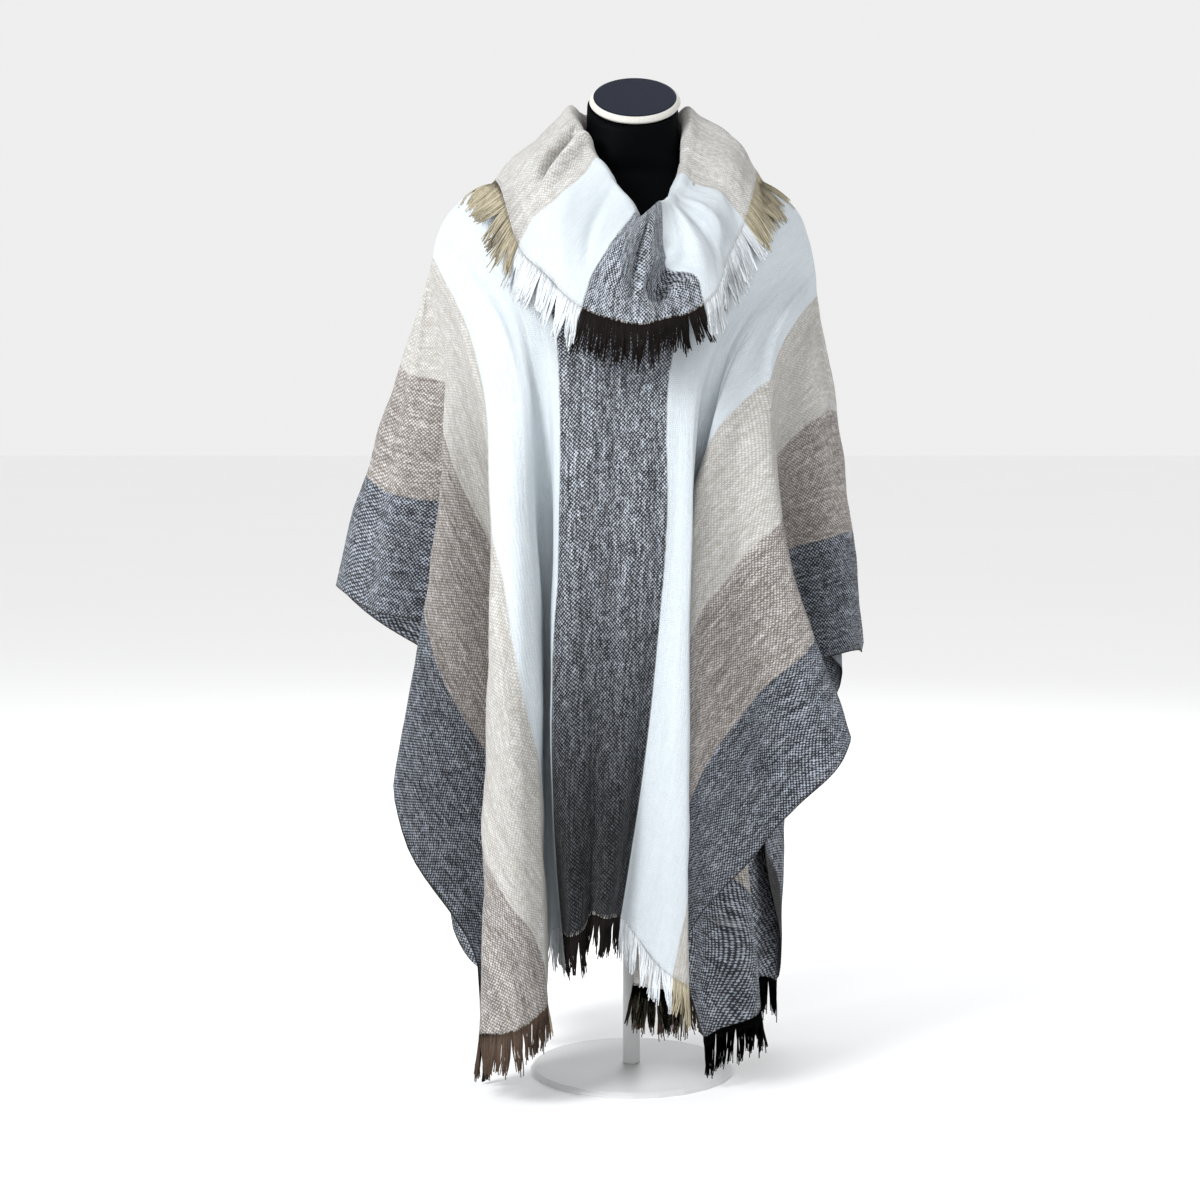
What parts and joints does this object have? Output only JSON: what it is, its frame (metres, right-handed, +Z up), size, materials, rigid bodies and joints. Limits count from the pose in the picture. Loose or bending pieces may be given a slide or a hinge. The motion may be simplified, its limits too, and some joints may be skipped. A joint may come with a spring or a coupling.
{
  "type": "andean poncho on dress form",
  "caption": "Woven striped poncho with a fold-over fringed collar, draped in deep folds over a limbless dress form on a slim round stand.",
  "frame": {"origin": "middle of the stand's underside, on the surface that it stands on", "axes": "+Z up, the garment's front faces -Y, its wearer's right is at -X"},
  "size_m": [0.6869, 0.4013, 1.2675],
  "materials": {
    "woven_cloth": "undyed wool, plain weave with a soft nap, striped in off-white, cream, tan and salt-and-pepper grey",
    "collar_cloth": "the same wool, stripes across the strip",
    "fringe_yarn": "loose wool warp ends",
    "form_cover": "close black jersey",
    "cap_face": "satin dark blue with a pale edge",
    "stand_paint": "satin pale grey"
  },
  "bodies": {
    "root": {"poncho_front": "woven_cloth", "poncho_back": "woven_cloth", "collar": "collar_cloth", "fringe_front": "fringe_yarn", "fringe_back": "fringe_yarn", "fringe_collar": "fringe_yarn", "form_torso": "form_cover", "neck_cap": "cap_face", "stand_pole": "stand_paint", "stand_base": "stand_paint"}
  },
  "joints": []
}
